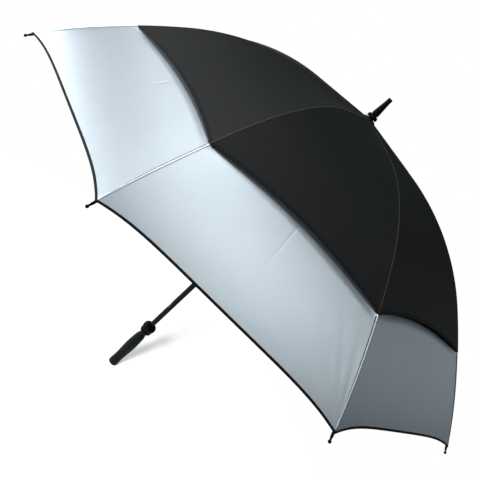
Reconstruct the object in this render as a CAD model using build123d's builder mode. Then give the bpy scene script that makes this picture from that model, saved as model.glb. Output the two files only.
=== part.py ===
"""Golf umbrella with a vented double canopy, modelled open.

Millimetres, +Z up along the shaft, origin on the shaft axis at the middle of the grip.
Eight ribs are pinned on a wire ring in the crown notch. A stretcher is riveted under each rib
and pinned on a second wire ring in the runner, which slides on the shaft. The length from the
crown pin to the rivet equals the stretcher's length, and both rings have one radius, so the
runner stays on the shaft axis at every angle of the fold.
"""

import os
from math import atan2, cos, degrees, hypot, radians, sin, tan

from build123d import *

os.makedirs("parts", exist_ok=True)

# ---- driving dimensions ----
RIBS = 8
SECTOR = 360 / RIBS
HALF_SECTOR = SECTOR / 2

# handle and shaft
BUTT_Z = -67.0  # free end of the grip
GRIP_TOP_Z = 67.0
COLLAR_TOP_Z = 99.0
SHAFT_R = 7.0
SHAFT_BORE_R = 6.2
SHAFT_BOTTOM_Z = -58.0
FIT = 0.05  # radial clearance of pieces that are fixed on the shaft

# crown
CROWN_Z = 857.0  # where the fabric would meet the shaft axis
SHAFT_TOP_Z = CROWN_Z + 14.0
FERRULE_BASE_Z = CROWN_Z + 15.8
FERRULE_TIP_Z = CROWN_Z + 63.0
FERRULE_BASE_R = 8.9
FERRULE_TIP_R = 5.6
FERRULE_STRAIGHT = 9.0  # straight stretch at the free end

# wire rings that carry the ribs and the stretchers
RING_R = 12.5
WIRE_R = 0.8
EYE_HOLE_R = 1.05
NOTCH_R = 15.5

# rib: straight, then a tight bend, then a slack one, seen from the side
ROD_R = 1.9
ROOT_SLOPE = 6.5  # degrees below level
BEND_SLOPE = 38.5
TIP_SLOPE = 50.1
STRAIGHT_LENGTH = 152.0
BEND_LENGTH = 297.0
SLACK_LENGTH = 302.0
RIVET_STATION = 327.0  # distance along the rib from the crown pin to the stretcher's rivet
RIVET_DROP = 6.0  # the rivet is this far under the rod's centre line
RIVET_R = 1.2
RIVET_HOLE_R = 1.3

# canopy cloth, as plain sheets
CLOTH = 1.0
TOP_LIFT = 4.6  # middle of the top canopy above the rod's centre line
LOWER_LIFT = 3.2
SEAM_GAP = 0.35  # half of the gap between neighbouring panels
TOP_START_R = 10.0
VENT_R = 509.0  # vent edge, measured at a rib
VENT_SCALLOP = 18.0
LOWER_START_R = 416.0
HEM_R = 650.0
HEM_SCALLOP = 10.0

# runner
RUNNER_BORE_R = 7.25
RUNNER_HEAD_R = 15.0
RUNNER_LENGTH = 60.0

# spring catches
CATCH_AZIMUTH = HALF_SECTOR
CATCH_THICKNESS = 1.2
CATCH_LENGTH = 34.0
CATCH_NOSE_R = 10.4
CATCH_NOSE_HEIGHT = 19.0

CROWN_PIN_Z = CROWN_Z - TOP_LIFT / cos(radians(ROOT_SLOPE)) - RING_R * tan(radians(ROOT_SLOPE))


# ---- geometry of the rib ----
def radial_plane(azimuth):
    """Upright plane through the shaft axis: x is the distance from the axis, y is the height."""
    a = radians(azimuth)
    return Plane(origin=(0, 0, 0), x_dir=(cos(a), sin(a), 0), z_dir=(sin(a), -cos(a), 0))


def rib_point(station, lift=0.0):
    """Radius, height and slope in degrees at a distance along the rib, lifted off its centre line."""
    r, z, slope = RING_R, CROWN_PIN_Z, ROOT_SLOPE
    stretches = (
        (STRAIGHT_LENGTH, ROOT_SLOPE),
        (BEND_LENGTH, BEND_SLOPE),
        (SLACK_LENGTH + 100.0, TIP_SLOPE + (TIP_SLOPE - BEND_SLOPE) * 100.0 / SLACK_LENGTH),
    )
    for length, end_slope in stretches:
        run = min(length, station)
        turn = (end_slope - slope) * run / length
        middle = radians(slope + turn / 2)
        half = radians(turn) / 2
        chord = run if half == 0 else run * sin(half) / half
        r += chord * cos(middle)
        z -= chord * sin(middle)
        slope += turn
        station -= run
        if station <= 0:
            break
    return r + lift * sin(radians(slope)), z + lift * cos(radians(slope)), slope


def station_at_radius(radius, lift):
    """Distance along the rib at which the lifted curve passes a given radius."""
    low, high = 0.0, STRAIGHT_LENGTH + BEND_LENGTH + SLACK_LENGTH + 90.0
    for _ in range(50):
        middle = (low + high) / 2
        if rib_point(middle, lift)[0] < radius:
            low = middle
        else:
            high = middle
    return low


RIB_LENGTH = station_at_radius(HEM_R, 0.0)
ROD_AT_RIVET_R, ROD_AT_RIVET_Z, RIVET_SLOPE = rib_point(RIVET_STATION)
RIVET_PIN_R, RIVET_PIN_Z, _ = rib_point(RIVET_STATION, -RIVET_DROP)
LINK_LENGTH = hypot(RIVET_PIN_R - RING_R, RIVET_PIN_Z - CROWN_PIN_Z)
CHORD_SLOPE = degrees(atan2(CROWN_PIN_Z - RIVET_PIN_Z, RIVET_PIN_R - RING_R))
RUNNER_PIN_Z = 2 * RIVET_PIN_Z - CROWN_PIN_Z
RUNNER_TOP_Z = RUNNER_PIN_Z + 6.0
RUNNER_BOTTOM_Z = RUNNER_TOP_Z - RUNNER_LENGTH

# how the umbrella closes
CLOSED_ANGLE = 4.0  # rib chord off the shaft when closed
FOLD_ANGLE = 90.0 - CHORD_SLOPE - CLOSED_ANGLE
RUNNER_CLOSED_PIN_Z = CROWN_PIN_Z - 2 * LINK_LENGTH * cos(radians(CLOSED_ANGLE))
RUNNER_TRAVEL = RUNNER_PIN_Z - RUNNER_CLOSED_PIN_Z
OPEN_CATCH_Z = RUNNER_BOTTOM_Z - 0.5
CLOSED_CATCH_Z = RUNNER_BOTTOM_Z - RUNNER_TRAVEL + 36.0


def rib_path(first, last, lift=0.0):
    """The rib's centre line between two stations, as tangent lines and arcs. Call inside BuildLine."""
    joints = [first, STRAIGHT_LENGTH, STRAIGHT_LENGTH + BEND_LENGTH, last]
    stops = [first] + [s for s in joints[1:3] if first < s < last] + [last]
    for start, end in zip(stops, stops[1:]):
        a, m, b = (rib_point(s, lift)[:2] for s in (start, (start + end) / 2, end))
        if end <= STRAIGHT_LENGTH:
            Line(a, b)
        else:
            ThreePointArc(a, m, b)


def save(piece, name):
    piece.part.label = name
    export_step(piece.part, f"parts/{name}.step")


def ring_wire(height, name):
    """Wire ring that threads eight eyes."""
    with BuildPart() as wire:
        with BuildSketch(Plane.XZ):
            with Locations((RING_R, height)):
                Circle(WIRE_R)
        revolve(axis=Axis.Z)
    save(wire, name)


# ---- shaft ----
with BuildPart() as shaft:
    with BuildSketch(Plane.XY.offset(SHAFT_BOTTOM_Z)):
        Circle(SHAFT_R)
        Circle(SHAFT_BORE_R, mode=Mode.SUBTRACT)
    extrude(amount=SHAFT_TOP_Z - SHAFT_BOTTOM_Z)
    slot_thickness = CATCH_THICKNESS + 0.7
    for catch_z in (OPEN_CATCH_Z, CLOSED_CATCH_Z):
        with BuildSketch(radial_plane(CATCH_AZIMUTH)):
            with Locations((SHAFT_R, catch_z - CATCH_NOSE_HEIGHT / 2)):
                Rectangle(6, CATCH_NOSE_HEIGHT + 4)
        extrude(amount=slot_thickness / 2, both=True, mode=Mode.SUBTRACT)
save(shaft, "shaft")

# ---- grip: waisted sleeve, closed at the butt ----
with BuildPart() as grip:
    with BuildSketch(Plane.XZ):
        with BuildLine():
            Polyline((0, BUTT_Z), (12.4, BUTT_Z), (13.2, BUTT_Z + 1.2), (13.2, BUTT_Z + 6))
            Spline(
                (13.2, BUTT_Z + 6),
                (12.5, BUTT_Z + 26),
                (13.6, BUTT_Z + 55),
                (14.5, BUTT_Z + 82),
                (13.4, BUTT_Z + 108),
                (9.6, BUTT_Z + 128),
                tangents=((0, 1), (-0.45, 1)),
            )
            Polyline(
                (9.6, BUTT_Z + 128),
                (8.7, GRIP_TOP_Z),
                (SHAFT_R + FIT, GRIP_TOP_Z),
                (SHAFT_R + FIT, SHAFT_BOTTOM_Z - FIT),
                (0, SHAFT_BOTTOM_Z - FIT),
                (0, BUTT_Z),
            )
        make_face()
    revolve(axis=Axis.Z)
save(grip, "grip")

# ---- collar: the two-ringed knob between grip and shaft ----
with BuildPart() as collar:
    with BuildSketch(Plane.XZ):
        with BuildLine():
            z = GRIP_TOP_Z
            Line((SHAFT_R + FIT, z), (9.2, z))
            ThreePointArc((9.2, z), (13.6, z + 1.6), (16.0, z + 6))
            ThreePointArc((16.0, z + 6), (16.3, z + 9.5), (15.4, z + 12.5))
            ThreePointArc((15.4, z + 12.5), (17.6, z + 16), (18.2, z + 21))
            ThreePointArc((18.2, z + 21), (16.4, z + 28), (11.0, COLLAR_TOP_Z))
            Line((11.0, COLLAR_TOP_Z), (SHAFT_R + FIT, COLLAR_TOP_Z))
            Line((SHAFT_R + FIT, COLLAR_TOP_Z), (SHAFT_R + FIT, z))
        make_face()
    revolve(axis=Axis.Z)
save(collar, "grip_collar")

# ---- ferrule: tapered spike with a spigot in the top of the shaft ----
with BuildPart() as ferrule:
    with BuildSketch(Plane.XZ):
        with BuildLine():
            spigot_z = CROWN_Z - 6
            Polyline(
                (0, spigot_z),
                (SHAFT_BORE_R - FIT, spigot_z),
                (SHAFT_BORE_R - FIT, SHAFT_TOP_Z),
                (FERRULE_BASE_R, FERRULE_BASE_Z),
                (FERRULE_TIP_R, FERRULE_TIP_Z - FERRULE_STRAIGHT),
                (FERRULE_TIP_R, FERRULE_TIP_Z - 0.8),
                (FERRULE_TIP_R - 0.8, FERRULE_TIP_Z),
                (0, FERRULE_TIP_Z),
                close=True,
            )
        make_face()
    revolve(axis=Axis.Z)
save(ferrule, "ferrule")

# ---- crown cap and rosette: clamp the middle of the top canopy ----
with BuildPart() as cap:
    with BuildSketch(Plane.XZ):
        with BuildLine():
            z = CROWN_Z + 4.2
            Line((SHAFT_R + FIT, z), (12.4, z))
            ThreePointArc((12.4, z), (13.3, z + 2.6), (12.6, z + 5.4))
            ThreePointArc((12.6, z + 5.4), (10.8, z + 8.6), (8.2, z + 9.6))
            Line((8.2, z + 9.6), (SHAFT_R + FIT, z + 9.6))
            Line((SHAFT_R + FIT, z + 9.6), (SHAFT_R + FIT, z))
        make_face()
    revolve(axis=Axis.Z)
save(cap, "crown_cap")

with BuildPart() as rosette:
    with BuildSketch(Plane.XY.offset(CROWN_Z + 0.9)):
        Circle(14.6)
        with PolarLocations(14.2, RIBS, HALF_SECTOR):
            Circle(2.9)
        Circle(SHAFT_R + FIT, mode=Mode.SUBTRACT)
    extrude(amount=3.2)
save(rosette, "crown_rosette")

# ---- crown notch: slotted disc under the canopy, fixed on the shaft ----
SLOT = 3.4
with BuildPart() as notch:
    with BuildSketch(Plane.XZ):
        with BuildLine():
            top = CROWN_PIN_Z + 3.6
            Polyline(
                (SHAFT_R + FIT, top),
                (10.4, top),
                (NOTCH_R, top - 1.2),
                (NOTCH_R, CROWN_PIN_Z - 2.2),
                (12.4, CROWN_PIN_Z - 4.6),
                (9.2, CROWN_PIN_Z - 14),
                (SHAFT_R + FIT, CROWN_PIN_Z - 14),
                close=True,
            )
        make_face()
    revolve(axis=Axis.Z)
    for k in range(RIBS):
        with BuildSketch(radial_plane(k * SECTOR)):
            with Locations((9.4, CROWN_PIN_Z + 8)):
                Rectangle(12, 22, align=(Align.MIN, Align.MAX))
        extrude(amount=SLOT / 2, both=True, mode=Mode.SUBTRACT)
    with BuildSketch(Plane.XZ):
        with Locations((RING_R, CROWN_PIN_Z)):
            Circle(WIRE_R + FIT)
    revolve(axis=Axis.Z, mode=Mode.SUBTRACT)
save(notch, "crown_notch")
ring_wire(CROWN_PIN_Z, "crown_wire")

# ---- runner: slotted head, sleeve and thumb flange ----
WINDOW = 5.0
with BuildPart() as runner:
    with BuildSketch(Plane.XZ):
        with BuildLine():
            neck = RUNNER_PIN_Z - 5.6
            base = RUNNER_BOTTOM_Z
            Polyline(
                (RUNNER_BORE_R, RUNNER_TOP_Z),
                (9.6, RUNNER_TOP_Z),
                (9.6, RUNNER_PIN_Z + 2.2),
                (RUNNER_HEAD_R, RUNNER_PIN_Z + 2.2),
                (RUNNER_HEAD_R, neck + 1.6),
                (RUNNER_HEAD_R - 1.6, neck),
                (9.9, neck - 4),
                (9.5, base + 9),
                (10.4, base + 5),
                (13.4, base + 3.2),
                (13.4, base + 0.8),
                (12.6, base),
                (RUNNER_BORE_R, base),
                close=True,
            )
        make_face()
    revolve(axis=Axis.Z)
    for k in range(RIBS):
        with BuildSketch(radial_plane(k * SECTOR)):
            with Locations((9.15, RUNNER_PIN_Z - 3.5)):
                Rectangle(12, 22, align=(Align.MIN, Align.MIN))
        extrude(amount=4.2 / 2, both=True, mode=Mode.SUBTRACT)
    with BuildSketch(Plane.XZ):
        with Locations((RING_R, RUNNER_PIN_Z)):
            Circle(WIRE_R + FIT)
    revolve(axis=Axis.Z, mode=Mode.SUBTRACT)
    with BuildSketch(radial_plane(CATCH_AZIMUTH)):
        with Locations((RUNNER_BORE_R - 1, RUNNER_BOTTOM_Z + 36.8)):
            Rectangle(12, CATCH_NOSE_HEIGHT + 2, align=(Align.MIN, Align.MAX))
    extrude(amount=WINDOW / 2, both=True, mode=Mode.SUBTRACT)
save(runner, "runner")
ring_wire(RUNNER_PIN_Z, "runner_wire")


# ---- spring catches: a leaf inside the shaft whose nose stands out through a slot ----
def spring_catch(top_z, name):
    with BuildPart() as catch:
        with BuildSketch(radial_plane(CATCH_AZIMUTH)):
            with BuildLine():
                Polyline(
                    (2.2, top_z - 1),
                    (3.2, top_z),
                    (CATCH_NOSE_R, top_z),
                    (CATCH_NOSE_R, top_z - 2.2),
                    (5.6, top_z - CATCH_NOSE_HEIGHT),
                    (5.0, top_z - CATCH_LENGTH + 2),
                    (3.6, top_z - CATCH_LENGTH - 2),
                    (2.2, top_z - CATCH_LENGTH),
                    close=True,
                )
            make_face()
        extrude(amount=CATCH_THICKNESS / 2, both=True)
    save(catch, name)


spring_catch(OPEN_CATCH_Z, "open_catch")
spring_catch(CLOSED_CATCH_Z, "closed_catch")


# ---- ribs ----
EYE_R = 2.4
EYE_THICKNESS = 2.6
CLIP_GAP = 2.3  # inside face of the clip's cheeks, off the rib's plane
CLIP_CHEEK = 1.0
CLIP_COLLAR_R = 3.1


def rod_section(station):
    """Plane across the rib at a station, for azimuth 0."""
    r, z, slope = rib_point(station)
    return Plane(origin=(r, 0, z), z_dir=(cos(radians(slope)), 0, -sin(radians(slope))))


def turned(piece, azimuth):
    """The same piece, built at azimuth 0, turned about the shaft."""
    piece.part = piece.part.rotate(Axis.Z, azimuth)
    return piece


def inner_rib(azimuth):
    """Rod from the crown eye to the rivet, with the clip that carries the stretcher."""
    side = radial_plane(0)
    with BuildPart() as rib:
        with BuildLine(side):
            rib_path(9.0, RIVET_STATION - 4)
        with BuildSketch(rod_section(9.0)):
            Circle(ROD_R)
        sweep()
        with BuildSketch(side):
            with BuildLine():
                a, b = rib_point(0, EYE_R)[:2], rib_point(11.0, ROD_R)[:2]
                c, d = rib_point(11.0, -ROD_R)[:2], rib_point(0, -EYE_R)[:2]
                Polyline(a, b, c, d, close=True)
            make_face()
            with Locations((RING_R, CROWN_PIN_Z)):
                Circle(EYE_R)
        extrude(amount=EYE_THICKNESS / 2, both=True)
        with BuildSketch(side):
            with Locations((RING_R, CROWN_PIN_Z)):
                Circle(EYE_HOLE_R)
        extrude(amount=EYE_THICKNESS, both=True, mode=Mode.SUBTRACT)
        with BuildLine(side):
            rib_path(RIVET_STATION - 15, RIVET_STATION - 4)
        with BuildSketch(rod_section(RIVET_STATION - 15)):
            Circle(CLIP_COLLAR_R)
        sweep()
        with BuildSketch(side.offset(CLIP_GAP), side.offset(-CLIP_GAP - CLIP_CHEEK)):
            with BuildLine():
                corners = ((-13, 2.6), (5, 2.6), (5, -3.4), (2.8, -8.4), (-2.8, -8.4), (-13, -2.6))
                Polyline(*(rib_point(RIVET_STATION + s, h)[:2] for s, h in corners), close=True)
            make_face()
        extrude(amount=CLIP_CHEEK)
        with BuildSketch(side.offset(-CLIP_GAP - CLIP_CHEEK - 0.4)):
            with Locations((RIVET_PIN_R, RIVET_PIN_Z)):
                Circle(RIVET_R)
        extrude(amount=2 * (CLIP_GAP + CLIP_CHEEK + 0.4))
    return turned(rib, azimuth)


def outer_rib(azimuth):
    """Rod from the rivet to the hem, with a ball end in the clip."""
    with BuildPart() as rib:
        with BuildLine(radial_plane(0)):
            rib_path(RIVET_STATION, RIB_LENGTH - 1)
        with BuildSketch(rod_section(RIVET_STATION)):
            Circle(ROD_R)
        sweep()
        with Locations((ROD_AT_RIVET_R, 0, ROD_AT_RIVET_Z)):
            Sphere(ROD_R)
    return turned(rib, azimuth)


def rib_tip(azimuth):
    """Moulded end cap that the canopy's corner is sewn to: a socket, a neck and a bead."""
    socket_r = ROD_R + FIT
    with BuildPart() as tip:
        with BuildSketch(Plane.XZ):
            with BuildLine():
                Polyline((0, -12), (0, -0.9), (socket_r, -0.9), (socket_r, 9), (2.35, 9), (2.45, -1))
                ThreePointArc((2.45, -1), (1.9, -3.4), (1.8, -6.6))
                ThreePointArc((1.8, -6.6), (3.0, -9), (0, -12))
            make_face()
        revolve(axis=Axis.Z)
    r, z, slope = rib_point(RIB_LENGTH)
    back = (-cos(radians(slope)), 0, sin(radians(slope)))
    tip.part = tip.part.moved(Location(Plane(origin=(r, 0, z), z_dir=back)))
    return turned(tip, azimuth)


# ---- stretchers ----
STRETCHER_WIDTH = 3.4
STRETCHER_HEIGHT = 4.6
STRETCHER_EYE_R = 3.0


def stretcher(azimuth):
    """Flat bar from the rivet down to the runner, with an eye at each end."""
    ends = ((RIVET_PIN_R, RIVET_PIN_Z), (RING_R, RUNNER_PIN_Z))
    middle = tuple((a + b) / 2 for a, b in zip(*ends))
    tilt = degrees(atan2(ends[0][1] - ends[1][1], ends[0][0] - ends[1][0]))
    with BuildPart() as bar:
        with BuildSketch(radial_plane(0)):
            with Locations(Location(middle, tilt)):
                Rectangle(LINK_LENGTH - 4, STRETCHER_HEIGHT)
            with Locations(*ends):
                Circle(STRETCHER_EYE_R)
            with Locations(ends[0]):
                Circle(RIVET_HOLE_R, mode=Mode.SUBTRACT)
            with Locations(ends[1]):
                Circle(EYE_HOLE_R, mode=Mode.SUBTRACT)
        extrude(amount=STRETCHER_WIDTH / 2, both=True)
    return turned(bar, azimuth)


for k in range(RIBS):
    save(inner_rib(k * SECTOR), f"rib_inner_{k + 1}")
    save(outer_rib(k * SECTOR), f"rib_outer_{k + 1}")
    save(rib_tip(k * SECTOR), f"rib_tip_{k + 1}")
    save(stretcher(k * SECTOR), f"stretcher_{k + 1}")


# ---- canopy panels ----
SQUEEZE = cos(radians(HALF_SECTOR))  # a panel's middle line is this much nearer the shaft than its ribs


def cloth_edge(first, last, lift):
    """Points along a panel's middle line, as line and arc, from one station to another."""
    def point(station):
        r, z, _ = rib_point(station, lift)
        return r * SQUEEZE, z

    joints = (STRAIGHT_LENGTH, STRAIGHT_LENGTH + BEND_LENGTH)
    stops = [first] + [s for s in joints if first < s < last] + [last]
    for start, end in zip(stops, stops[1:]):
        if end <= STRAIGHT_LENGTH:
            Line(point(start), point(end))
        else:
            ThreePointArc(point(start), point((start + end) / 2), point(end))
    return point(first), point(last)


def panel(azimuth, start_r, edge_r, scallop, lift, name):
    """One gore: a bent sheet, trimmed at its two ribs and along its scalloped outer edge."""
    first = station_at_radius(start_r, lift)
    last = station_at_radius(edge_r, lift)
    with BuildPart() as gore:
        with BuildSketch(radial_plane(azimuth)):
            with BuildLine():
                low = cloth_edge(first, last, lift - CLOTH / 2)
                high = cloth_edge(first, last, lift + CLOTH / 2)
                Line(low[0], high[0])
                Line(low[1], high[1])
            make_face()
        extrude(amount=edge_r, both=True)
        with BuildSketch(Plane.XY.rotated((0, 0, azimuth))):
            with BuildLine():
                # a side runs beside the rib's plane, SEAM_GAP away from it
                def side(r, sign):
                    return r * SQUEEZE, sign * (r * sin(radians(HALF_SECTOR)) - SEAM_GAP / SQUEEZE)

                inner = (side(start_r - 2, -1), side(start_r - 2, 1))
                outer = (side(edge_r, -1), side(edge_r, 1))
                Polyline(outer[0], inner[0], inner[1], outer[1])
                ThreePointArc(outer[0], ((edge_r - scallop) * SQUEEZE, 0), outer[1])
            make_face()
        extrude(amount=2 * CROWN_Z, both=True, mode=Mode.INTERSECT)
    save(gore, name)


for k in range(RIBS):
    azimuth = k * SECTOR + HALF_SECTOR
    panel(azimuth, TOP_START_R, VENT_R, VENT_SCALLOP, TOP_LIFT, f"top_panel_{k + 1}")
    panel(azimuth, LOWER_START_R, HEM_R, HEM_SCALLOP, LOWER_LIFT, f"lower_panel_{k + 1}")

print(f"rib length {RIB_LENGTH:.1f}, link {LINK_LENGTH:.1f}, chord slope {CHORD_SLOPE:.2f}")
print(f"fold {FOLD_ANGLE:.2f} deg, runner travel {RUNNER_TRAVEL:.1f}, runner pin {RUNNER_PIN_Z:.1f}")
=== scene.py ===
"""Looks of the vented golf umbrella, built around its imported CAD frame.

Metres, in the frame's own axes: +Z up along the shaft, origin on the shaft axis at the middle
of the grip. The frame's rods, pins, runner and handle keep their CAD shapes and get materials.
The canopy's rigid panels are replaced by sewn cloth: an upper black sheet in two lengths, a
silver sheet under it that reaches to the hem, and their seams, tapes, hems and bindings.
"""

from math import atan2, cos, degrees, exp, hypot, pi, radians, sin, tan

import bpy
from mathutils import Matrix, Vector

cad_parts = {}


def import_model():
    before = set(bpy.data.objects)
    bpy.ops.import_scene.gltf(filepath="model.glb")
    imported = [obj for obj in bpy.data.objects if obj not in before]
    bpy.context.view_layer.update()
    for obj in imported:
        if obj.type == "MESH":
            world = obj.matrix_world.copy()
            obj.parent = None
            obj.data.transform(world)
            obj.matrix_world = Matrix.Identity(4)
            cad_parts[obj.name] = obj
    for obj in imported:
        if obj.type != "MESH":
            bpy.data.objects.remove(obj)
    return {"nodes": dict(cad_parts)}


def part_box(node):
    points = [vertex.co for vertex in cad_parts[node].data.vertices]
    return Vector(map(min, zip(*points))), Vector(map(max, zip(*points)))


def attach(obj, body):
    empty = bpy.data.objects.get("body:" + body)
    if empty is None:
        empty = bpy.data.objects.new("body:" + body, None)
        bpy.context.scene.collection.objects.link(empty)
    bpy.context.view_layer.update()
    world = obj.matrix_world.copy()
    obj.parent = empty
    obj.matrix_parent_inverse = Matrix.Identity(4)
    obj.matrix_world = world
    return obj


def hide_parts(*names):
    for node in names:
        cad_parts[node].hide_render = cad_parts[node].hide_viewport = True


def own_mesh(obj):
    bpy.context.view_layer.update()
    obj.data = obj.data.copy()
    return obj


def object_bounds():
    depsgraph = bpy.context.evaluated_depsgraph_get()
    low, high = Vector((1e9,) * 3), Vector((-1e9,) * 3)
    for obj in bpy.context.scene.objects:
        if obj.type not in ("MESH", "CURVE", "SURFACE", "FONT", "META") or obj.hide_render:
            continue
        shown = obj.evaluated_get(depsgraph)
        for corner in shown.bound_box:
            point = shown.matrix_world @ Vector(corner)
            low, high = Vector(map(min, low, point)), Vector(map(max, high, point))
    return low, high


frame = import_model()
cad_low, cad_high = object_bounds()

MM = 0.001

# ---- the ribs' driving dimensions, as the frame has them ----
RIBS = 8
SECTOR = radians(360 / RIBS)
HALF_SECTOR = SECTOR / 2
SQUEEZE = cos(HALF_SECTOR)  # a panel's middle line is this much nearer the shaft than its ribs
CROWN_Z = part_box("shaft")[1].z - 14 * MM
RING_R = 12.5 * MM
ROOT_SLOPE = radians(6.5)
BEND_SLOPE = radians(38.5)
TIP_SLOPE = radians(50.1)
STRAIGHT_LENGTH = 152 * MM
BEND_LENGTH = 297 * MM
SLACK_LENGTH = 302 * MM
RIVET_STATION = 327 * MM  # where each rib is jointed, measured along the rib from its pin
TOP_LIFT = 4.6 * MM  # black cloth above the rod's centre line
LOWER_LIFT = 3.2 * MM  # silver cloth above the rod's centre line
CROWN_PIN_Z = CROWN_Z - TOP_LIFT / cos(ROOT_SLOPE) - RING_R * tan(ROOT_SLOPE)

# ---- the canopy's cut ----
TOP_START_R = 9 * MM
TOP_LAP = 7 * MM  # the two lengths of black cloth lap this far on each side of the rivets
VENT_R = 509 * MM  # vent edge, measured at a rib
VENT_SCALLOP = 18 * MM
VENT_POWER = 2.1
LOWER_START_R = 420 * MM
HEM_R = 650 * MM
HEM_SCALLOP = 10 * MM
HEM_POWER = 5
CLOTH = 0.45 * MM
EDGE_ROW = 0.5 * MM  # rows close to an edge keep the sheet's shading flat up to it
VENT_HEM_DEPTH = 7 * MM
VENT_STITCHES = 5.6 * MM  # distance from the edge
VENT_STITCH_PITCH = 4 * MM
BINDING_DEPTH = 4.4 * MM
BINDING_THICKNESS = 0.75 * MM
HEM_STITCHES = 3.4 * MM
HEM_STITCH_PITCH = 3.5 * MM

# ---- how the cloth hangs between its ribs ----
TOP_SAG = 4.6 * MM
TAUT_LENGTH = 260 * MM  # the black cloth reaches its full sag this far from the crown
FLAP_EDGE_SAG = 2.4 * MM  # the vent's free edge is slack and stands off the silver cloth
FLAP_SLACK_LENGTH = 110 * MM
LOWER_SAG = 5.0 * MM
VENT_DIP = 4.4 * MM  # the silver cloth falls away under the vent's edge
DIP_OUTSIDE = 19 * MM
DIP_INSIDE = 8 * MM
GATHER_DEPTH = 0.2 * MM
GATHER_REACH = 40 * MM  # from the corner to where the gathers are deepest
GATHER_PITCH = 13  # degrees from one small fold to the next
GATHER_SPREAD = 44  # degrees from the rib to where the gathers end
GATHER_FADE = 20
CREASE_DEPTH = 0.16 * MM  # fold line along the middle of each silver panel
CREASE_WIDTH = 1.7 * MM
CREASE_LENGTH = 130 * MM

# ---- shares a panel would narrow to between its ribs when folded; on_gore takes them but does not apply them ----
TOP_KEEP = 0.115
LOWER_KEEP = 0.115

# ---- where thread ties hold the canopy to a rib, measured along the rib ----
INNER_TIES = (120 * MM, 230 * MM)
OUTER_TIES = (440 * MM, 560 * MM, 670 * MM)

# ---- camera: where the umbrella is seen from ----
CAMERA_AIM = (2.7 * MM, -1.5 * MM, 437.5 * MM)
CAMERA_AZIMUTH = radians(61.66)  # from +X towards +Y
CAMERA_ELEVATION = radians(17.56)
CAMERA_DISTANCE = 1.4656
CAMERA_ROLL = radians(46.66)
CAMERA_FIELD = radians(44.1)
SENSOR_WIDTH = 36

# ---- floor and lamps ----
FLOOR_RADIUS = 0.85
FLOOR_GLOW = 0.44
SOFTBOX_SIZE = 0.9
SOFTBOX_AIM = (0, 0, 0.6)


# ---------------------------------------------------------------- shape of the canopy
def rib_point(station, lift=0.0):
    """Radius, height and slope at a distance along the rib, lifted off its centre line."""
    r, z, slope = RING_R, CROWN_PIN_Z, ROOT_SLOPE
    spare = 100 * MM
    stretches = (
        (STRAIGHT_LENGTH, ROOT_SLOPE),
        (BEND_LENGTH, BEND_SLOPE),
        (SLACK_LENGTH + spare, TIP_SLOPE + (TIP_SLOPE - BEND_SLOPE) * spare / SLACK_LENGTH),
    )
    for length, end_slope in stretches:
        run = min(length, station)
        turn = (end_slope - slope) * run / length
        middle = slope + turn / 2
        chord = run if abs(turn) < 1e-9 else run * sin(turn / 2) / (turn / 2)
        r += chord * cos(middle)
        z -= chord * sin(middle)
        slope += turn
        station -= run
        if station <= 0:
            break
    return r + lift * sin(slope), z + lift * cos(slope), slope


def station_at_radius(radius, lift):
    """Distance along the rib at which the lifted curve passes a given radius."""
    low, high = -10 * MM, STRAIGHT_LENGTH + BEND_LENGTH + SLACK_LENGTH + 90 * MM
    for _ in range(40):
        middle = (low + high) / 2
        if rib_point(middle, lift)[0] < radius:
            low = middle
        else:
            high = middle
    return low


def smooth(x):
    """0 below 0, 1 above 1, and an even rise between."""
    x = min(max(x, 0.0), 1.0)
    return x * x * (3 - 2 * x)


def vent_station(across):
    """The vent edge's station on the line from rib to rib; across runs from -1 to 1."""
    return station_at_radius(VENT_R - VENT_SCALLOP * (1 - abs(across) ** VENT_POWER), TOP_LIFT)


def hem_station(across):
    """The hem's station, likewise."""
    return station_at_radius(HEM_R - HEM_SCALLOP * (1 - abs(across) ** HEM_POWER), LOWER_LIFT)


def gore_point(gore, station, across, lift, sag=0.0, offset=0.0):
    """A point of the panel between rib number `gore` and the next one.

    It lies on the straight line between the two ribs at that station, then moves in by sag at
    the middle of the line, and out by offset."""
    r, z, slope = rib_point(station, lift)
    tilt = atan2(sin(slope), cos(slope) * SQUEEZE)
    move = offset - sag * (1 - across * across)
    local = Vector((
        r * SQUEEZE + move * sin(tilt),
        across * r * sin(HALF_SECTOR),
        z + move * cos(tilt),
    ))
    return Matrix.Rotation((gore + 0.5) * SECTOR, 3, "Z") @ local


def from_rib(station, across):
    """How far a point of a panel is from its nearer rib."""
    return (1 - abs(across)) * rib_point(station)[0] * sin(HALF_SECTOR)


def crease(station, across):
    """Depth of the fold line along a panel's middle."""
    side = abs(across) * rib_point(station)[0] * sin(HALF_SECTOR)
    return CREASE_DEPTH * exp(-((side / CREASE_WIDTH) ** 2))


def top_point(gore, station, across, offset=0.0):
    """The black cloth: taut near the crown, and slack again at the vent's edge."""
    edge = vent_station(across)
    into_slack = station - edge + FLAP_SLACK_LENGTH
    sag = TOP_SAG * smooth(station / TAUT_LENGTH)
    sag += (FLAP_EDGE_SAG - TOP_SAG) * smooth(into_slack / FLAP_SLACK_LENGTH)
    return gore_point(gore, station, across, TOP_LIFT, sag, offset)


def gathers(station, across, tip_station):
    """Small folds that spread from the cloth's corner, where it is sewn to the rib's tip."""
    beside = from_rib(station, across)
    short = max(tip_station - station, 0.0)
    away = hypot(beside, short)
    angle = degrees(atan2(beside, short + 4 * MM))
    swell = away / GATHER_REACH * exp(1 - away / GATHER_REACH)
    fade = smooth((GATHER_SPREAD - angle) / GATHER_FADE)
    return GATHER_DEPTH * swell * cos(2 * pi * angle / GATHER_PITCH) * fade


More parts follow.
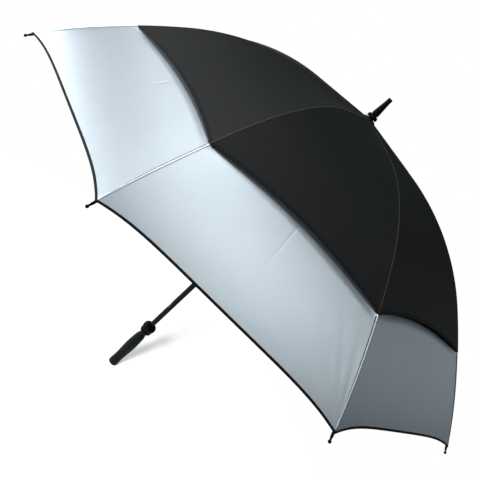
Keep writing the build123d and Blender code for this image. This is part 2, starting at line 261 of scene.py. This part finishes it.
def lower_point(gore, station, across, offset=0.0):
    """The silver cloth: dips under the vent's edge, then runs taut to the hem."""
    past_vent = station - vent_station(across)
    dip = VENT_DIP * smooth((DIP_OUTSIDE - past_vent) / (DIP_OUTSIDE + DIP_INSIDE))
    offset -= dip * (1 - abs(across) ** 10)
    offset -= crease(station, across) * smooth(1.25 - past_vent / CREASE_LENGTH)
    offset += gathers(station, across, hem_station(1))
    return gore_point(gore, station, across, LOWER_LIFT, LOWER_SAG, offset)


# ---------------------------------------------------------------- mesh helpers
def add_object(name, mesh, material):
    thing = bpy.data.objects.new(name, mesh)
    bpy.context.scene.collection.objects.link(thing)
    mesh.materials.append(material)
    for face in mesh.polygons:
        face.use_smooth = True
    return thing


def mesh_object(name, points, faces, flat_faces, lengths, material):
    """An object from points and faces. flat_faces are shaded flat, so the edges beside them stay
    crisp. lengths gives each point's (across, along) place on the cloth, for the weave."""
    mesh = bpy.data.meshes.new(name)
    mesh.from_pydata(points, [], faces + flat_faces)
    layer = mesh.uv_layers.new(name="cloth")
    for loop in mesh.loops:
        layer.data[loop.index].uv = lengths[loop.vertex_index]
    thing = add_object(name, mesh, material)
    for face in mesh.polygons[len(faces):]:
        face.use_smooth = False
    mesh.validate()
    mesh.update()
    return thing


def tube(name, rows, cuts, material):
    """A closed strip through rows of points, each row one turn round its section."""
    width = len(rows[0])
    faces = []
    for i in range(len(rows) - 1):
        for j in range(width):
            a, b = i * width + j, i * width + (j + 1) % width
            faces.append((a, b, b + width, a + width))
    first = tuple(range(width - 1, -1, -1))
    last = tuple(range((len(rows) - 1) * width, len(rows) * width))
    points = [p for row in rows for p in row]
    lengths = [c for row in cuts for c in row]
    return mesh_object(name, points, faces, [first, last], lengths, material)


def sheet_solid(name, upper, under, cuts, material):
    """A sheet with real thickness, from the rows of points of its two faces."""
    high, width = len(upper), len(upper[0])
    count = high * width
    faces, rim = [], []
    for i in range(high - 1):
        for j in range(width - 1):
            a = i * width + j
            quad = (a, a + width, a + width + 1, a + 1)
            faces.append(quad)
            faces.append(tuple(count + p for p in reversed(quad)))
    border = [(i * width, (i + 1) * width) for i in range(high - 1)]
    border += [((high - 1) * width + j, (high - 1) * width + j + 1) for j in range(width - 1)]
    border += [((i + 1) * width - 1 + width, (i + 1) * width - 1) for i in reversed(range(high - 1))]
    border += [(j + 1, j) for j in reversed(range(width - 1))]
    for a, b in border:
        rim.append((b, a, count + a, count + b))
    points = [p for row in upper + under for p in row]
    lengths = [c for row in cuts + cuts for c in row]
    return mesh_object(name, points, faces, rim, lengths, material)


def many(name, lumps, material):
    """One object from several small closed solids, each a list of points and of faces."""
    points, faces = [], []
    for lump_points, lump_faces in lumps:
        base = len(points)
        points += lump_points
        faces += [tuple(base + i for i in face) for face in lump_faces]
    mesh = bpy.data.meshes.new(name)
    mesh.from_pydata(points, [], faces)
    mesh.validate()
    mesh.update()
    return add_object(name, mesh, material)


def steps(first, last, count):
    """Even steps from first to last, both included."""
    return [first + (last - first) * i / count for i in range(count + 1)]


def places_across(count):
    """Places from rib to rib, closer together beside the ribs and at the middle."""
    half = [(1 + cos(pi * i / count)) / 2 for i in range(count + 1)]
    return [-x for x in half] + half[-2::-1]


# ---------------------------------------------------------------- materials
def new_material(name):
    material = bpy.data.materials.new(name)
    material.use_nodes = True
    nodes = material.node_tree.nodes
    return material, nodes, material.node_tree.links, nodes["Principled BSDF"]


def mixed_colour(nodes, links, factor, dark, light):
    """A colour between dark and light, by a factor socket."""
    mix = nodes.new("ShaderNodeMix")
    mix.data_type = "RGBA"
    links.new(factor, mix.inputs["Factor"])
    mix.inputs["A"].default_value = (*dark, 1)
    mix.inputs["B"].default_value = (*light, 1)
    return mix.outputs["Result"]


def noise(nodes, links, vector, scale, detail=3.0, roughness=0.55):
    texture = nodes.new("ShaderNodeTexNoise")
    texture.inputs["Scale"].default_value = scale
    texture.inputs["Detail"].default_value = detail
    texture.inputs["Roughness"].default_value = roughness
    links.new(vector, texture.inputs["Vector"])
    return texture.outputs["Fac"]


def in_range(nodes, links, value, low, high, new_low=0.0, new_high=1.0):
    remap = nodes.new("ShaderNodeMapRange")
    links.new(value, remap.inputs["Value"])
    for key, number in zip(
        ("From Min", "From Max", "To Min", "To Max"), (low, high, new_low, new_high)
    ):
        remap.inputs[key].default_value = number
    return remap.outputs["Result"]


def bump(nodes, links, height, distance, strength, under=None):
    node = nodes.new("ShaderNodeBump")
    node.inputs["Distance"].default_value = distance
    node.inputs["Strength"].default_value = strength
    links.new(height, node.inputs["Height"])
    if under:
        links.new(under, node.inputs["Normal"])
    return node.outputs["Normal"]


def weave(nodes, links, vector, pitch):
    """Height of a plain weave: threads both ways."""
    heights = []
    for axis in ("X", "Y"):
        wave = nodes.new("ShaderNodeTexWave")
        wave.wave_type = "BANDS"
        wave.bands_direction = axis
        wave.inputs["Scale"].default_value = pi / 10 / pitch
        links.new(vector, wave.inputs["Vector"])
        heights.append(wave.outputs["Fac"])
    cross = nodes.new("ShaderNodeMath")
    cross.operation = "MULTIPLY"
    links.new(heights[0], cross.inputs[0])
    links.new(heights[1], cross.inputs[1])
    return cross.outputs["Value"]


def cloth_material(name, dark, light, roughness, sheen, shine, metallic=0.0, pitch=0.7 * MM):
    """Close woven cloth: threads, a faint unevenness of colour, and soft rumples."""
    material, nodes, links, shader = new_material(name)
    flat = nodes.new("ShaderNodeUVMap")
    flat.uv_map = "cloth"
    place = nodes.new("ShaderNodeTexCoord").outputs["Object"]
    threads = weave(nodes, links, flat.outputs["UV"], pitch)
    mottle = noise(nodes, links, place, 26, 4)
    links.new(mixed_colour(nodes, links, mottle, dark, light), shader.inputs["Base Color"])
    grain = noise(nodes, links, place, 420, 2)
    gloss = in_range(nodes, links, grain, 0.3, 0.7, roughness - 0.05, roughness + 0.05)
    links.new(gloss, shader.inputs["Roughness"])
    rumple = bump(nodes, links, noise(nodes, links, place, 14, 2, 0.4), 1.6 * MM, 0.22)
    normal = bump(nodes, links, threads, 0.08 * MM, 0.35, rumple)
    links.new(normal, shader.inputs["Normal"])
    shader.inputs["Metallic"].default_value = metallic
    shader.inputs["Sheen Weight"].default_value = sheen
    shader.inputs["Sheen Roughness"].default_value = 0.45
    shader.inputs["Specular IOR Level"].default_value = shine
    return material


def moulded_material(name, dark, light, roughness, shine, grain_scale, grain_depth):
    """Moulded plastic or rubber: a fine surface grain and slightly uneven gloss."""
    material, nodes, links, shader = new_material(name)
    place = nodes.new("ShaderNodeTexCoord").outputs["Object"]
    patches = noise(nodes, links, place, 60, 3)
    links.new(mixed_colour(nodes, links, patches, dark, light), shader.inputs["Base Color"])
    gloss = in_range(nodes, links, patches, 0.3, 0.7, roughness - 0.07, roughness + 0.07)
    links.new(gloss, shader.inputs["Roughness"])
    pits = nodes.new("ShaderNodeTexVoronoi")
    pits.inputs["Scale"].default_value = grain_scale
    links.new(place, pits.inputs["Vector"])
    links.new(
        bump(nodes, links, pits.outputs["Distance"], grain_depth, 0.5), shader.inputs["Normal"]
    )
    shader.inputs["Specular IOR Level"].default_value = shine
    return material


def drawn_material(name, dark, light, roughness, metallic, shine=0.5):
    """Drawn rod, tube or wire: fine lines along the length and handling marks."""
    material, nodes, links, shader = new_material(name)
    place = nodes.new("ShaderNodeTexCoord").outputs["Object"]
    stretch = nodes.new("ShaderNodeMapping")
    stretch.inputs["Scale"].default_value = (1, 1, 0.04)
    links.new(place, stretch.inputs["Vector"])
    lines = noise(nodes, links, stretch.outputs["Vector"], 1500, 2)
    marks = noise(nodes, links, place, 90, 4)
    links.new(mixed_colour(nodes, links, marks, dark, light), shader.inputs["Base Color"])
    gloss = in_range(nodes, links, marks, 0.3, 0.7, roughness - 0.06, roughness + 0.08)
    links.new(gloss, shader.inputs["Roughness"])
    links.new(bump(nodes, links, lines, 0.04 * MM, 0.3), shader.inputs["Normal"])
    shader.inputs["Metallic"].default_value = metallic
    shader.inputs["Specular IOR Level"].default_value = shine
    return material


black_cloth = cloth_material(
    "black_cloth", (0.0066, 0.0083, 0.0089), (0.0090, 0.0109, 0.0116), 0.5, 0.025, 0.145
)
black_seam = cloth_material(
    "black_seam", (0.022, 0.021, 0.019), (0.032, 0.030, 0.027), 0.55, 0.06, 0.25
)
silver_cloth = cloth_material(
    "silver_cloth", (0.585, 0.671, 0.732), (0.635, 0.721, 0.782), 0.34, 0.0, 0.45, metallic=0.8
)
binding_cloth = cloth_material(
    "binding_cloth", (0.004, 0.0045, 0.005), (0.007, 0.0075, 0.008), 0.6, 0.02, 0.12
)
# painted shadow: this dark cloth colour stands for the shade under each lapped silver seam
painted_fold_shadow = cloth_material("painted_fold_shadow", (0.020, 0.023, 0.026), (0.028, 0.031, 0.034), 0.7, 0.05, 0.1)
thread = cloth_material(
    "thread", (0.008, 0.008, 0.009), (0.02, 0.02, 0.021), 0.7, 0.1, 0.2, pitch=0.3 * MM
)
MATERIALS = {
    "shaft_black": drawn_material(
        "shaft_paint", (0.003, 0.0032, 0.0032), (0.005, 0.0052, 0.0052), 0.42, 0.0, 0.14
    ),
    "grip_rubber": moulded_material(
        "grip_rubber", (0.002, 0.0035, 0.005), (0.004, 0.0065, 0.009), 0.5, 0.12, 900, 0.12 * MM
    ),
    "moulded_black": moulded_material(
        "moulded_black", (0.001, 0.0012, 0.0012), (0.002, 0.0023, 0.0023), 0.45, 0.06, 1600, 0.05 * MM
    ),
    "rib_rod": drawn_material(
        "rib_rod", (0.008, 0.008, 0.009), (0.014, 0.014, 0.015), 0.34, 0.0, 0.35
    ),
    "stretcher_black": drawn_material(
        "stretcher_paint", (0.012, 0.012, 0.013), (0.020, 0.020, 0.022), 0.38, 0.0, 0.35
    ),
    "wire_steel": drawn_material("wire_steel", (0.42, 0.42, 0.43), (0.58, 0.58, 0.6), 0.3, 1.0),
    "catch_steel": drawn_material("catch_steel", (0.45, 0.45, 0.47), (0.62, 0.62, 0.64), 0.26, 1.0),
}
SLOT_OF_NODE = (
    ("shaft", "shaft_black"),
    ("grip_collar", "moulded_black"),
    ("grip", "grip_rubber"),
    ("ferrule", "moulded_black"),
    ("crown_wire", "wire_steel"),
    ("crown", "moulded_black"),
    ("runner_wire", "wire_steel"),
    ("runner", "moulded_black"),
    ("open_catch", "catch_steel"),
    ("closed_catch", "catch_steel"),
    ("rib_inner", "rib_rod"),
    ("rib_outer", "rib_rod"),
    ("rib_tip", "moulded_black"),
    ("stretcher", "stretcher_black"),
)


def finish_cad_nodes():
    """Gives every kept CAD node the material of its slot."""
    for name, node in frame["nodes"].items():
        for start, slot in SLOT_OF_NODE:
            if name.startswith(start):
                for place in node.material_slots:
                    place.material = MATERIALS[slot]
                break


# ---------------------------------------------------------------- the canopy's cloth
def flat_cut(first, last):
    """Greatest width, length and area of a panel, laid flat."""
    rows = steps(first, last, 40)
    widths = [2 * rib_point(s)[0] * sin(HALF_SECTOR) for s in rows]
    area = sum((a + b) / 2 for a, b in zip(widths, widths[1:])) * (last - first) / 40
    return max(widths), last - first, area


def on_gore(piece, gore, body, keep, slot, *nodes):
    """Makes a piece of cloth move with a panel's body, and hides the CAD nodes it stands in for."""
    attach(piece, f"{body}_{gore + 1}")
    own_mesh(piece)
    if nodes:
        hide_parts(*nodes)
    return piece


def cloth_sheet(name, gore, rows_at, point, columns, material):
    """A sheet of cloth. rows_at gives the stations of the rows at a place across."""
    across = places_across(columns)
    stations = [rows_at(v) for v in across]
    upper, under, cuts = [], [], []
    for i in range(len(stations[0])):
        row = [(column[i], v) for column, v in zip(stations, across)]
        upper.append([point(gore, station, v, CLOTH / 2) for station, v in row])
        under.append([point(gore, station, v, -CLOTH / 2) for station, v in row])
        cuts.append([(v * rib_point(station)[0] * sin(HALF_SECTOR), station) for station, v in row])
    return sheet_solid(name, upper, under, cuts, material)


def folded_edge(name, gore, point, edge, width, out, in_, material):
    """A strip folded round a sheet's free edge, width deep, out and in_ thick on its two faces."""
    rows, cuts = [], []
    rim = 0.4 * MM
    for v in places_across(30):
        end = edge(v)
        section = (
            (width, in_), (width, out * 0.7), (width * 0.9, out), (width * 0.5, out * 1.15),
            (rim, out), (0.0, out * 0.8), (-rim, 0.0), (0.0, in_ * 0.8), (rim, in_),
            (width * 0.5, in_ * 1.15),
        )
        rows.append([point(gore, end - back, v, offset) for back, offset in section])
        side = v * rib_point(end)[0] * sin(HALF_SECTOR)
        cuts.append([(side, end - back + offset) for back, offset in section])
    return tube(name, rows, cuts, material)


def stitches(name, gore, point, edge, back, offset, pitch, material):
    """A row of short stitches, each a small pad, along a panel's edge."""
    lumps = []
    width = 2 * rib_point(edge(1))[0] * sin(HALF_SECTOR)
    count = int(width / pitch)
    length, thickness, height = 0.33 / count * 2, 0.35 * MM, 0.22 * MM
    box_faces = ((0, 1, 2, 3), (4, 7, 6, 5), (0, 4, 5, 1), (1, 5, 6, 2), (2, 6, 7, 3), (3, 7, 4, 0))
    for i in range(count):
        v = -1 + (i + 0.5) * 2 / count
        line = edge(v) - back
        corners = ((-1, -1), (1, -1), (1, 1), (-1, 1))
        low = [point(gore, line + b * thickness, v + a * length, offset) for a, b in corners]
        high = [
            point(gore, line + b * thickness / 2, v + a * length * 0.7, offset + height)
            for a, b in corners
        ]
        lumps.append((low + high, box_faces))
    return many(name, lumps, material)


def top_canopy(gore):
    """The black cloth of one panel: crown to rivet, and the vent's flap beyond it."""
    number = gore + 1
    first = station_at_radius(TOP_START_R, TOP_LIFT)

    def inner_rows(_):
        return steps(first, RIVET_STATION - 2 * MM, 40) + [RIVET_STATION - 0.4 * MM, RIVET_STATION]

    def lap_rows(_):
        return steps(RIVET_STATION - TOP_LAP, RIVET_STATION + TOP_LAP, 4)

    def lap_point(panel, station, across, offset):
        return top_point(panel, station, across, offset - 0.6 * MM)

    def flap_rows(across):
        end = vent_station(across) - 1 * MM
        begin = [RIVET_STATION, RIVET_STATION + 0.4 * MM]
        return begin + steps(RIVET_STATION + 2 * MM, end - EDGE_ROW, 22) + [end]

    inner = cloth_sheet(f"top_cloth_{number}", gore, inner_rows, top_point, 26, black_cloth)
    under = cloth_sheet(f"top_lap_{number}", gore, lap_rows, lap_point, 26, black_cloth)
    width, length, area = flat_cut(first, RIVET_STATION)
    on_gore(inner, gore, "top_gore", TOP_KEEP, "top_cloth", f"top_panel_{number}")
    on_gore(under, gore, "top_gore", TOP_KEEP, "top_cloth")

    flap = cloth_sheet(f"vent_flap_{number}", gore, flap_rows, top_point, 30, black_cloth)
    hem = folded_edge(f"vent_hem_{number}", gore, top_point, vent_station, VENT_HEM_DEPTH,
                      0.34 * MM, -0.7 * MM, binding_cloth)
    seam = stitches(f"vent_stitches_{number}", gore, top_point, vent_station, VENT_STITCHES,
                    0.2 * MM, VENT_STITCH_PITCH, thread)
    width, length, area = flat_cut(RIVET_STATION, vent_station(1))
    on_gore(flap, gore, "lower_gore", LOWER_KEEP, "top_cloth", f"top_panel_{number}")
    on_gore(hem, gore, "lower_gore", LOWER_KEEP, "top_cloth")
    on_gore(seam, gore, "lower_gore", LOWER_KEEP, "top_cloth")


def lower_canopy(gore):
    """The silver cloth of one panel, with its bound hem."""
    number = gore + 1
    first = station_at_radius(LOWER_START_R, LOWER_LIFT)

    def rows(across):
        vent, hem = vent_station(across), hem_station(across)
        inside = steps(first, vent - DIP_INSIDE, 5)
        dip = steps(vent - DIP_INSIDE, vent + DIP_OUTSIDE, 9)
        outside = steps(vent + DIP_OUTSIDE, hem - 0.6 * MM, 26)
        return inside + dip[1:] + outside[1:] + [hem]

    sheet = cloth_sheet(f"silver_cloth_{number}", gore, rows, lower_point, 36, silver_cloth)
    binding = folded_edge(f"hem_binding_{number}", gore, lower_point, hem_station, BINDING_DEPTH,
                          BINDING_THICKNESS, -BINDING_THICKNESS, binding_cloth)
    seam = stitches(f"hem_stitches_{number}", gore, lower_point, hem_station, HEM_STITCHES,
                    0.78 * MM, HEM_STITCH_PITCH, thread)
    width, length, area = flat_cut(first, hem_station(1))
    on_gore(sheet, gore, "lower_gore", LOWER_KEEP, "lower_cloth", f"lower_panel_{number}")
    on_gore(binding, gore, "lower_gore", LOWER_KEEP, "top_cloth")
    on_gore(seam, gore, "lower_gore", LOWER_KEEP, "top_cloth")


# ---------------------------------------------------------------- along the ribs
def beside_rib(rib, station, side, point, offset):
    """A point on the cloth at a distance to one side of a rib, moved out by offset."""
    share = abs(side) / (rib_point(station)[0] * sin(HALF_SECTOR))
    before = point(rib - 1, station, 1 - share, offset)
    after = point(rib, station, share - 1, offset)
    if side == 0:
        return (before + after) / 2
    return before if side < 0 else after


def rib_strip(name, rib, body, stations, point, section, material):
    """A closed strip along a rib, on the cloth that point describes. section gives its outline
    as (side, offset) at a station."""
    rows, cuts = [], []
    for station in stations:
        outline = section(station)
        rows.append([beside_rib(rib, station, side, point, offset) for side, offset in outline])
        cuts.append([(side, station) for side, _ in outline])
    strip = tube(name, rows, cuts, material)
    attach(strip, f"{body}_{rib + 1}")
    return strip


def seam_section(half_width, height, lap=1, tip=None):
    """The felled seam: a low ridge with a step on one side, where one panel laps the other.

    lap is -1 for the step on the other side. The ridge is pulled flat towards tip, the station
    of the cloth's corner, if there is one."""
    flattest, flattening = 0.3, 110 * MM

    def section(station):
        rise = height
        if tip is not None:
            rise *= flattest + (1 - flattest) * smooth((tip - station) / flattening)
        outline = (
            (-half_width, 0.1 * MM),
            (-half_width, rise * 0.8),
            (-half_width * 0.6, rise),
            (0.0, rise),
            (half_width * 0.6, rise * 0.7),
            (half_width, 0.3 * MM),
            (half_width, 0.1 * MM),
        )
        return tuple((side * lap, offset) for side, offset in outline)[::lap]
    return section


def fold_shadow_section(tip):
    """Painted shadow: a dark strip beside the seam's ridge that stands for the shade under the lapped
    panel. It closes up towards tip.
    """
    middle, height = -2.3 * MM, 0.6 * MM
    least, extra, closing = 0.05 * MM, 0.9 * MM, 120 * MM

    def section(station):
        half = least + extra * smooth((tip - station) / closing)
        return (
            (middle - half, 0.1 * MM), (middle - half * 0.8, height),
            (middle + half, height), (middle + half, 0.1 * MM),
        )
    return section


def tape_section(half_width, under):
    """Tape sewn under the seam; it narrows towards the crown."""
    def section(station):
        half = min(half_width, 3 * MM + 0.05 * station)
        top, bottom = -under, -under - 0.25 * MM
        return ((-half, top), (0.0, top), (half, top), (half, bottom), (0.0, bottom), (-half, bottom))
    return section


def thread_tie(rib, station):
    """A loop of thread that holds the canopy down on the rod, as points and faces."""
    around, ring_r, thread_r = 20, 2.9 * MM, 0.28 * MM
    turn_to_rib = Matrix.Rotation(rib * SECTOR, 3, "Z")
    points, faces = [], []
    for i in range(around):
        angle = 2 * pi * i / around
        for j in range(6):
            turn = 2 * pi * j / 6
            reach = ring_r + thread_r * cos(turn)
            along = station + thread_r * sin(turn)
            r, z, _ = rib_point(along, reach * cos(angle))
            points.append(turn_to_rib @ Vector((r, reach * sin(angle) * 0.8, z)))
            a, b = i * 6 + j, i * 6 + (j + 1) % 6
            c, d = (i + 1) % around * 6 + j, (i + 1) % around * 6 + (j + 1) % 6
            faces.append((a, b, d, c))
    return points, faces


def seams(rib):
    """Seams, tapes and thread ties of one rib, split where the rib is jointed."""
    number = rib + 1
    crown = station_at_radius(14.5 * MM, TOP_LIFT)
    vent, hem = vent_station(1), hem_station(1)
    lower = station_at_radius(LOWER_START_R, LOWER_LIFT)
    inner = steps(crown, RIVET_STATION, 30)
    flap = steps(RIVET_STATION, vent, 18)
    silver = steps(vent - 6 * MM, hem - 2 * MM, 24)
    under = steps(lower, hem - 4 * MM, 26)
    # stations of the painted shadow strip beside each silver seam
    shadow_stations = steps(vent + 4 * MM, hem - 25 * MM, 24)
    black_ridge = seam_section(1.3 * MM, 1.0 * MM)
    silver_ridge = seam_section(1.6 * MM, 1.5 * MM, -1, hem)
    shadow = fold_shadow_section(hem - 25 * MM)
    tape = tape_section(9 * MM, 0.4 * MM)
    black_pieces = (
        ("top_seam", "rib", inner, black_ridge, black_seam),
        ("flap_seam", "rib_end", flap, black_ridge, black_seam),
        ("top_tape", "rib", inner, tape, black_cloth),
        ("flap_tape", "rib_end", flap, tape, black_cloth),
    )
    silver_pieces = (
        ("silver_seam", "rib_end", silver, silver_ridge, silver_cloth),
        # painted shadow: a dark strip for the shade under the lapped panel, not a real gap
        ("silver_painted_shadow", "rib_end", shadow_stations, shadow, painted_fold_shadow),
        ("silver_tape", "rib_end", under, tape, silver_cloth),
    )
    for slot, point, pieces in (
        ("top_cloth", top_point, black_pieces),
        ("lower_cloth", lower_point, silver_pieces),
    ):
        for name, body, stations, section, material in pieces:
            strip = rib_strip(f"{name}_{number}", rib, body, stations, point, section, material)
    for name, body, stations in (
        (f"inner_ties_{number}", "rib", INNER_TIES),
        (f"outer_ties_{number}", "rib_end", OUTER_TIES),
    ):
        ties = many(name, [thread_tie(rib, s) for s in stations], thread)
        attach(ties, f"{body}_{number}")


# ---------------------------------------------------------------- the crown
def rosette():
    """Gathered cloth disc that covers the hole at the crown, with a scallop over each panel."""
    low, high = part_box("crown_rosette")
    inner_r, outer_r = 7.2 * MM, 15.0 * MM
    top, drop = low.z + 2.1 * MM, 3.6 * MM
    upper, under, cuts = [], [], []
    around, thickness = 96, 1.1 * MM
    for i in range(9):
        share = i / 8
        ring, cut = [], []
        for j in range(around + 1):
            angle = 2 * pi * j / around
            lobe = abs(cos((angle - HALF_SECTOR) * RIBS / 2)) ** 0.6
            radius = inner_r + (outer_r - 1.6 * MM + 2.6 * MM * lobe - inner_r) * share
            ruffle = 0.3 * MM * sin(3 * RIBS * angle) * share ** 1.5
            height = top - drop * share ** 1.6 + ruffle
            ring.append(Vector((radius * cos(angle), radius * sin(angle), height)))
            cut.append((angle * radius, radius))
        upper.append([p + Vector((0, 0, thickness / 2)) for p in ring])
        under.append([p - Vector((0, 0, thickness / 2)) for p in ring])
        cuts.append(cut)
    piece = sheet_solid("rosette_cloth", upper, under, cuts, black_cloth)
    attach(piece, "shaft")
    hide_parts("crown_rosette")


# ---------------------------------------------------------------- stage, lights and camera
def floor():
    """Plain floor at the butt's level, nearly white from its own glow and the floor lamp."""
    around = 96
    z = cad_low.z - 0.2 * MM
    angles = [2 * pi * i / around for i in range(around)]
    ring = [Vector((FLOOR_RADIUS * cos(a), FLOOR_RADIUS * sin(a), z)) for a in angles]
    mesh = bpy.data.meshes.new("floor")
    mesh.from_pydata(ring, [], [tuple(range(around))])
    mesh.update()
    material, nodes, links, shader = new_material("pale_floor")
    place = nodes.new("ShaderNodeTexCoord").outputs["Object"]
    speckle = noise(nodes, links, place, 30, 2)
    links.new(
        mixed_colour(nodes, links, speckle, (0.24, 0.24, 0.24), (0.26, 0.26, 0.26)),
        shader.inputs["Base Color"],
    )
    shader.inputs["Roughness"].default_value = 1.0
    shader.inputs["Specular IOR Level"].default_value = 0.0
    shader.inputs["Emission Color"].default_value = (1, 1, 1, 1)
    shader.inputs["Emission Strength"].default_value = FLOOR_GLOW
    thing = add_object("floor", mesh, material)
    return thing


def direction(azimuth, elevation):
    """Unit vector from the origin towards a compass direction and height, in degrees."""
    a, e = radians(azimuth), radians(elevation)
    return Vector((cos(a) * cos(e), sin(a) * cos(e), sin(e)))


def sun(name, azimuth, elevation, strength, spread):
    """Light from far off, with shadows as soft as its spread in degrees."""
    light = bpy.data.lights.new(name, "SUN")
    light.energy = strength
    light.angle = radians(spread)
    thing = bpy.data.objects.new(name, light)
    bpy.context.scene.collection.objects.link(thing)
    thing.rotation_mode = "QUATERNION"
    thing.rotation_quaternion = direction(azimuth, elevation).to_track_quat("Z", "Y")
    return thing


def softbox(name, azimuth, reach, height, power):
    """Square lamp that faces the canopy, reach metres from the shaft."""
    light = bpy.data.lights.new(name, "AREA")
    light.shape = "SQUARE"
    light.size = SOFTBOX_SIZE
    light.energy = power
    thing = bpy.data.objects.new(name, light)
    bpy.context.scene.collection.objects.link(thing)
    thing.location = reach * direction(azimuth, 0) + Vector((0, 0, height))
    thing.rotation_mode = "QUATERNION"
    facing = thing.location - Vector(SOFTBOX_AIM)
    thing.rotation_quaternion = facing.to_track_quat("Z", "Y")
    thing.visible_camera = False


def lights(ground):
    """Softboxes round the canopy, a weak sun from the right, and a lamp that lights only the floor.

    Only the handle throws the floor lamp's shadow."""
    softbox("left_low", -60, 1.9, 0.6, 26)
    softbox("left_middle", -30, 1.9, 0.6, 13.5)
    softbox("front_low", 0, 1.9, 0.6, 6.5)
    softbox("right_low", 30, 1.9, 0.6, 15)
    softbox("left_high", -30, 1.4, 1.9, 3.4)
    softbox("front_high", 0, 1.4, 1.9, 6.3)
    softbox("right_high", 90, 1.4, 1.9, 1.0)
    softbox("overhead_left", 10, 0.8, 2.3, 13.2)
    softbox("overhead_right", 70, 1.2, 2.1, 3.6)
    sun("right_fill", 180, 25, 0.078, 30)
    lit, handle = (bpy.data.collections.new(name) for name in ("floor_only", "handle_only"))
    lit.objects.link(ground)
    for name in ("shaft", "grip", "grip_collar"):
        handle.objects.link(frame["nodes"][name])
    linking = sun("floor_lamp", 49.0, 27, 15.5, 7.5).light_linking
    linking.receiver_collection = lit
    linking.blocker_collection = handle


def world():
    """White backdrop for the camera, and a dimmer grey that lights the umbrella."""
    scene_world = bpy.data.worlds.new("studio")
    bpy.context.scene.world = scene_world
    scene_world.use_nodes = True
    nodes, links = scene_world.node_tree.nodes, scene_world.node_tree.links
    nodes.clear()
    backdrop = nodes.new("ShaderNodeBackground")
    backdrop.inputs["Color"].default_value = (1, 1, 1, 1)
    fill = nodes.new("ShaderNodeBackground")
    fill.inputs["Color"].default_value = (0.014, 0.020, 0.025, 1)
    mix = nodes.new("ShaderNodeMixShader")
    out = nodes.new("ShaderNodeOutputWorld")
    path = nodes.new("ShaderNodeLightPath")
    links.new(path.outputs["Is Camera Ray"], mix.inputs["Fac"])
    links.new(fill.outputs[0], mix.inputs[1])
    links.new(backdrop.outputs[0], mix.inputs[2])
    links.new(mix.outputs[0], out.inputs["Surface"])


def camera():
    """Looks at the shaft from above the rim, turned on its own axis so that the umbrella lies over."""
    data = bpy.data.cameras.new("camera")
    data.sensor_width = SENSOR_WIDTH
    data.lens = SENSOR_WIDTH / 2 / tan(CAMERA_FIELD / 2)
    data.clip_start, data.clip_end = 0.01, 200
    thing = bpy.data.objects.new("camera", data)
    bpy.context.scene.collection.objects.link(thing)
    a, e = CAMERA_AZIMUTH, CAMERA_ELEVATION
    back = Vector((cos(a) * cos(e), sin(a) * cos(e), sin(e)))
    level = Vector((0, 0, 1)).cross(back).normalized()
    upright = back.cross(level)
    right = level * cos(CAMERA_ROLL) + upright * sin(CAMERA_ROLL)
    up = upright * cos(CAMERA_ROLL) - level * sin(CAMERA_ROLL)
    turn = Matrix((right, up, back)).transposed().to_4x4()
    thing.matrix_world = Matrix.Translation(Vector(CAMERA_AIM) + back * CAMERA_DISTANCE) @ turn
    bpy.context.scene.camera = thing


bpy.context.scene.view_settings.view_transform = "Standard"
finish_cad_nodes()
for number in range(RIBS):
    top_canopy(number)
    lower_canopy(number)
    seams(number)
rosette()
lights(floor())
world()
camera()
